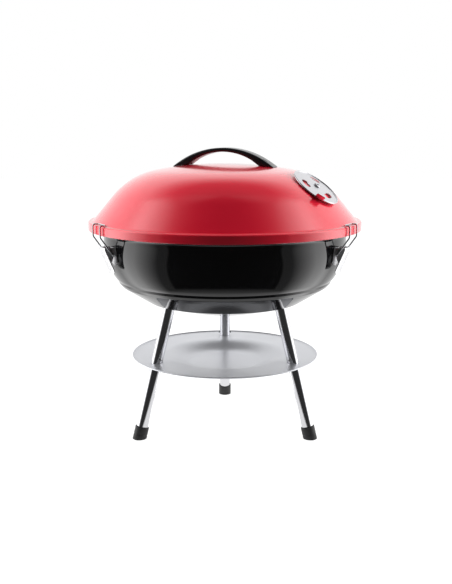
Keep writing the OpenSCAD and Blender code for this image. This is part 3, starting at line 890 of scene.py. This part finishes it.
def makeLegWashers():
    low, hole, radius = legWasher["low"], legWasher["hole"], legWasher["radius"]
    high = low + legWasher["sheet"]
    section = bentLine([
        (hole, low), (radius, low, 0.3), (radius, high, 0.3), (hole, high), (hole, low)], 20, 0.3)
    piece = turned("washer", section, 48, plainSteel, place=onLeg(0))
    onThreeSides(piece, "legWashers", plainSteel, "steel", "leg_washers")


def makeTray():
    floor = tray["height"] - tray["dishDepth"]
    line = [Vector((0, floor)), Vector((tray["dishFloor"] - 1, floor))]
    run = tray["dishRadius"] - tray["dishFloor"]
    for k in range(25):
        drop = tray["dishDepth"] * (1 + cos(math.pi * k / 24)) / 2
        line.append(Vector((tray["dishFloor"] + run * k / 24, tray["height"] - drop)))
    line += [Vector((tray["dishRadius"] + 1, tray["height"])), Vector((tray["radius"] - 2.6, tray["height"]))]
    line += arcLine((tray["radius"] - 1.6, tray["height"] + 1.6), 1.6, 270, 340, 14)
    section = sheetSection(line, tray["sheet"])
    cutters = [roundCutter(leg["diameter"] / 2 + 0.3, 60, onLeg(angle) @ move(0, 0, -80), 72)
               for angle in sides.values()]
    piece = turned("ashTray", section, tray["steps"], traySteel, cutters=cutters)
    handOver(piece, "base", "tray_steel", "ash_tray")


for side, angle in sides.items():
    makeLeg(side, angle)
    makeFoot(side, angle)
makeTrayPins()
makeLegScrews()
makeLegWashers()
makeTray()
print("legs, feet and tray made")


# ---- latches ----

bracket = {"width": 20, "sheet": 1.2, "low": -8, "high": 11, "tip": -13.5, "ear": 7.0, "earSheet": 1.2}
lever = {
    "line": [(179.5, 262.4), (179.9, 260.8, 0.8), (178.4, 256.5, 3), (171.5, 240.6, 8), (167.4, 231.6, 3),
             (167.6, 227.8)],
    "cheekEdge": [(178.6, 262.0), (178.9, 260.4), (177.6, 257.0), (171.6, 243.4), (170.2, 243.6, 1.0)],
    "sheet": 1.1, "half": 9.7, "corner": 3.2, "flange": 8.6, "bailPin": (169.5, 252.5),
}
bail = {"wire": 2.0, "half": 12, "hook": (178.4, 291.0), "out": 186.2, "knee": 276, "end": 8.4,
        "bends": [1.8, 4, 3, 2.5, 2.5, 3, 4, 1.8]}


# Flat cheek drawn as (radius, height), from one place across the latch to another
def cheek(outline, low, high):
    piece = prism("cheek", outline, low, high)
    bevelEdges(piece, 0.2)
    # radius goes outwards, to -Y; height goes up; the prism's own height goes across
    turnOver = Matrix(((0, 0, 1, 0), (-1, 0, 0, 0), (0, 1, 0, 0), (0, 0, 0, 1)))
    piece.data.transform(turnOver)
    return piece


def cheekPair(outline, low, high):
    return [cheek(outline, low, high), cheek(outline, -high, -low)]


def makeBracket(side, angle):
    half = bracket["width"] / 2
    outline = bentLine([
        (0, bracket["high"]), (half, bracket["high"], 1.6), (half, bracket["low"], 1.0),
        (0, bracket["tip"], 0.8), (-half, bracket["low"], 1.0), (-half, bracket["high"], 1.6),
        (0, bracket["high"])], 15, 0.4)[:-1]
    plate = prism("plate", outline, 0.05, 0.05 + bracket["sheet"])
    bevelEdges(plate, 0.25)
    plate.data.transform(tiltX(90))
    holes = [move(s * latch["rivetSpread"], 0, latch["rivetRise"]) @ tiltX(90) for s in (-1, 1)]
    cutAway(plate, [roundCutter(latch["rivetHole"], 8, hole, 24) for hole in holes])
    for vertex in plate.data.vertices:  # rolled to the wall's curve
        vertex.co.y += vertex.co.x ** 2 / (2 * bowl["radius"] * mm)
    plate.data.transform(onWall(0))
    r, h = latch["pin"]
    wall = latch["wallRadius"]
    ear = bentLine([(wall + 0.4, h - 8), (wall + 1.2, h - 8), (r + 0.6, h - 2.8, 2), (r + 2.9, h, 2.0),
                    (r, h + 2.9, 2.0), (wall + 0.4, h + 2.7)], 15, 0.4)
    ears = cheekPair(ear[::-1], bracket["ear"], bracket["ear"] + bracket["earSheet"])
    piece = joinPieces("latchBracket" + side.capitalize(), [plate] + ears)
    tidyMesh(piece, latchSteel, 30, turnZ(angle))
    handOver(piece, "base", "latch_steel", "latch_bracket_" + side)


def makeLever(side, angle):
    line = bentLine(lever["line"], 8, 0.5)
    flat = [Vector((-p.x, p.y)) for p in line[::-1]]
    half = lever["half"]
    corner = lever["corner"]
    widths = [half - corner * (1 - min(1, (p - flat[0]).length / corner)) ** 2 for p in flat]
    blade = strip("blade", flat, lever["sheet"], widths)
    bevelEdges(blade, 0.25)
    (r, h), (s, g) = latch["pin"], lever["bailPin"]
    outline = bentLine([
        *lever["cheekEdge"], (s - 1.4, g - 2.4, 1.8), (s - 2.6, g + 0.8, 1.5),
        (r - 3.1, h + 0.9, 2.0), (r - 0.8, h + 3.1, 1.5)], 15, 0.4)
    flanges = cheekPair(outline[::-1], lever["flange"], lever["half"] - 0.02)
    piece = joinPieces("latchLever" + side.capitalize(), [blade] + flanges)
    tidyMesh(piece, latchSteel, 30, turnZ(angle))
    handOver(piece, "lever_" + side, "latch_steel", "latch_lever_" + side)


def makeBail(side, angle):
    half = bail["half"]
    hook, hookHeight = bail["hook"]
    pinRadius, pinHeight = lever["bailPin"]
    right = [Vector(p) for p in (
        (half, -hook, hookHeight), (half, -bail["out"], hookHeight), (half, -bail["out"], bail["knee"]),
        (half, -pinRadius, pinHeight), (bail["end"], -pinRadius, pinHeight))]
    corners = [Vector((-p.x, p.y, p.z)) for p in right[::-1]] + right
    path = [corners[0]]
    for i, bend in zip(range(1, len(corners) - 1), bail["bends"]):
        into = (corners[i] - corners[i - 1]).normalized()
        out = (corners[i + 1] - corners[i]).normalized()
        turn = into.angle(out)
        centreWay = (out - out.dot(into) * into).normalized()
        middle = corners[i] - bend * math.tan(turn / 2) * into + bend * centreWay
        for k in range(9):
            a = turn * k / 8
            path.append(middle + bend * (sin(a) * into - cos(a) * centreWay))
    path.append(corners[-1])
    piece = newPiece("latchBail" + side.capitalize(), [p * mm for p in path],
                     [(i, i + 1) for i in range(len(path) - 1)])
    runTree(piece, wireTree, Diameter=bail["wire"] * mm, Corners=16, Finish=wireChrome)
    tidyMesh(piece, wireChrome, 60, turnZ(angle))
    handOver(piece, "bail_" + side, "chrome", "latch_bail_" + side)


def makeLatchRivets():
    back = -latch["tabGap"] - 1.3
    section = bentLine([
        (0, back - 1), (2.6, back - 1, 0.4), (2.6, back), (1.5, back), (1.5, 1.3), (2.9, 1.3, 0.3),
        (2.5, 2.1, 0.8), (1.4, 2.55, 1.0), (0, 2.6)], 10, 0.3)
    pair = [turned("rivet", section, 40, latchSteel, place=onRivet(0, s)) for s in (-1, 1)]
    onThreeSides(joinPieces("rivets", pair), "latchRivets", latchSteel, "steel", "latch_rivets", sharp=30)


# Angle tabs inside the wall that carry the cooking grate
def makeGrateBrackets():
    inner = latch["tabGap"]
    line = bentLine([(inner, 9), (inner, -3, 1.8), (inner + 14, -3)], 12, 0.5)
    widths = [6.4] + [7.0] * (len(line) - 2) + [6.4]
    tab = strip("tab", line, -1.2, widths)
    bevelEdges(tab, 0.2)
    tab.data.transform(onWall(0))
    onThreeSides(tab, "grateBrackets", plainSteel, "steel", "grate_brackets", sharp=30)


for side, angle in sides.items():
    makeBracket(side, angle)
    makeLever(side, angle)
    makeBail(side, angle)
makeLatchRivets()
makeGrateBrackets()
for cadNode in ("handle_washers", "vent_washer", "leg_plugs", "latch_pins"):
    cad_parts[cadNode].data.materials.clear()
    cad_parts[cadNode].data.materials.append(plainSteel)
print("latches made")


# ---- studio ----

studio = {
    "darkHalf": 55,  # degrees either side of the front where the room is dark
    "floorDarkHalf": 50,  # the same for the floor's painted shade and painted glow
    "boxRise": (60, 88),  # degrees where the soft boxes at the sides come up
    "boxFall": (104, 118),  # degrees where they give way to the white backdrop
    "boxLight": 2.2,
    "sideDim": 0.22,  # between the dark front and the soft boxes
    "frontLight": 0.03,
    "roofLight": 0.12,
    "darkLight": 0.03,
    "nearFloor": (0.17, 0.26),  # metres from the middle over which the floor's painted glow near the kettle fades
    "nearLight": 0.9,
    "floorWhite": 1.22,
    "floorShare": 0.8,  # of that white in what the camera sees, over the shadows
    "topLight": 3,  # watts
    "topPlace": (0, 0.3, 1.7),
    "topSize": (1.4, 1.4),
    "sideLight": 25,
    "sidePlace": (1.4, 0.25, 0.75),
    "sideSize": (1.0, 1.2),
}
view = {"place": (0, -1.1524, 0.4079), "tilt": 79.19, "lens": 52.24, "sensor": 36, "shift": 0.0019}


# How bright the room is round the kettle: dark in front, a soft box at each side and white behind. The world
# lights the kettle with it, and the floor takes it as painted glow and painted shade
def roomRamp(tree, where, darkHalf):
    split = addNode(tree, "ShaderNodeSeparateXYZ", {0: where})
    across = addMath(tree, "ABSOLUTE", split.outputs[0])
    front = addMath(tree, "MULTIPLY", split.outputs[1], -1.0)
    turn = addMath(tree, "ARCTAN2", across, front)

    def past(start, end, low=0.0, high=1.0):
        return addNode(tree, "ShaderNodeMapRange", {
            "Value": turn, "From Min": radians(start), "From Max": radians(end),
            "To Min": low, "To Max": high}).outputs[0]

    box = past(*studio["boxRise"], studio["sideDim"], studio["boxLight"])
    behind = past(*studio["boxFall"], 0.0, studio["boxLight"] - 1.0)
    bright = addMath(tree, "SUBTRACT", box, behind)
    lit = addMath(tree, "MULTIPLY", past(darkHalf - 1.2, darkHalf + 1.2), bright)
    return addMath(tree, "MAXIMUM", lit, studio["frontLight"])


def makeWorld():
    world = bpy.data.worlds.new("studioRoom")
    bpy.context.scene.world = world
    world.use_nodes = True
    tree = world.node_tree
    background = tree.nodes["Background"]
    path = addNode(tree, "ShaderNodeLightPath")
    where = addNode(tree, "ShaderNodeTexCoord").outputs["Generated"]
    around = roomRamp(tree, where, studio["darkHalf"])
    height = addNode(tree, "ShaderNodeSeparateXYZ", {0: where}).outputs[2]
    roof = addNode(tree, "ShaderNodeMapRange", {
        "Value": height, "From Min": 0.70, "From Max": 0.88, "To Min": 1.0, "To Max": studio["roofLight"]})
    seen = addMath(tree, "MULTIPLY", around, roof.outputs[0])
    lit = addMath(tree, "MAXIMUM", seen, studio["darkLight"])
    glossy = addNode(tree, "ShaderNodeMix", {0: path.outputs["Is Glossy Ray"]}, data_type="FLOAT")
    tree.links.new(lit, glossy.inputs[2])
    tree.links.new(seen, glossy.inputs[3])
    shown = addMath(tree, "MAXIMUM", path.outputs["Is Camera Ray"], path.outputs["Is Transmission Ray"])
    level = addNode(tree, "ShaderNodeMix", {0: shown}, data_type="FLOAT")
    tree.links.new(glossy.outputs[0], level.inputs[2])
    level.inputs[3].default_value = 1.0
    tree.links.new(level.outputs[0], background.inputs["Strength"])
    background.inputs["Color"].default_value = (1, 1, 1, 1)


# Floor: the camera sees plain white over the shadows, and glossy rays see a painted reflection of the room: a
# glow that is dark in front and bright at the sides and near the middle
def makeFloor():
    half = 6.0
    floor = newPiece("studioFloor", [(-half, -half, 0), (half, -half, 0), (half, half, 0), (-half, half, 0)],
                     faces=[(0, 1, 2, 3)])
    floor.location.z = -0.0002
    material = bpy.data.materials.new("paleFloor")
    material.use_nodes = True
    tree = material.node_tree
    shader = tree.nodes["Principled BSDF"]
    shader.inputs["Roughness"].default_value = 0.7
    path = addNode(tree, "ShaderNodeLightPath")
    where = addNode(tree, "ShaderNodeTexCoord").outputs["Object"]
    around = roomRamp(tree, where, studio["floorDarkHalf"])
    distance = addNode(tree, "ShaderNodeVectorMath", {0: where}, operation="LENGTH").outputs["Value"]
    near = addNode(tree, "ShaderNodeMapRange", {
        "Value": distance, "From Min": studio["nearFloor"][0], "From Max": studio["nearFloor"][1],
        "To Min": studio["nearLight"], "To Max": 0.0}).outputs[0]
    seen = addMath(tree, "MAXIMUM", around, near)
    # Painted glow that the metal and enamel reflect, standing in for a lit room
    paintedRoomGlow = addNode(tree, "ShaderNodeEmission")
    tree.links.new(seen, paintedRoomGlow.inputs["Strength"])
    white = addNode(tree, "ShaderNodeEmission", {"Strength": studio["floorWhite"]})
    # Painted shade: for rays other than the camera's, the floor colour is dark in front and pale at the sides
    # and near the middle
    pale = addMath(tree, "MAXIMUM", seen, path.outputs["Is Camera Ray"])
    base = addNode(tree, "ShaderNodeMapRange", {"Value": pale, "To Min": 0.05, "To Max": 0.93})
    tree.links.new(base.outputs[0], shader.inputs["Base Color"])
    mirrored = addNode(tree, "ShaderNodeMixShader", {0: path.outputs["Is Glossy Ray"]})
    tree.links.new(shader.outputs[0], mirrored.inputs[1])
    tree.links.new(paintedRoomGlow.outputs[0], mirrored.inputs[2])
    share = addMath(tree, "MULTIPLY", path.outputs["Is Camera Ray"], studio["floorShare"])
    final = addNode(tree, "ShaderNodeMixShader", {0: share})
    tree.links.new(mirrored.outputs[0], final.inputs[1])
    tree.links.new(white.outputs[0], final.inputs[2])
    tree.links.new(final.outputs[0], tree.nodes["Material Output"].inputs["Surface"])
    floor.data.materials.append(material)


def addSoftBox(name, place, size, energy):
    light = bpy.data.lights.new(name, "AREA")
    light.shape = "RECTANGLE"
    light.size, light.size_y = size
    light.energy = energy
    box = bpy.data.objects.new(name, light)
    box.location = place
    aim = Vector((0, 0, 0.22)) - Vector(place)
    box.rotation_euler = aim.to_track_quat("-Z", "Y").to_euler()
    box.visible_glossy = False
    bpy.context.scene.collection.objects.link(box)


def makeCamera():
    camera = bpy.data.objects.new("camera", bpy.data.cameras.new("camera"))
    camera.location = view["place"]
    camera.rotation_euler = (radians(view["tilt"]), 0, 0)
    camera.data.lens = view["lens"]
    camera.data.sensor_width = view["sensor"]
    camera.data.shift_x = view["shift"]
    bpy.context.scene.collection.objects.link(camera)
    bpy.context.scene.camera = camera


makeWorld()
makeFloor()
addSoftBox("topBox", studio["topPlace"], studio["topSize"], studio["topLight"])
for name, way in (("leftBox", -1), ("rightBox", 1)):
    x, y, z = studio["sidePlace"]
    addSoftBox(name, (way * x, y, z), studio["sideSize"], studio["sideLight"])
makeCamera()
bpy.context.scene.view_settings.view_transform = "Standard"
print("studio made")
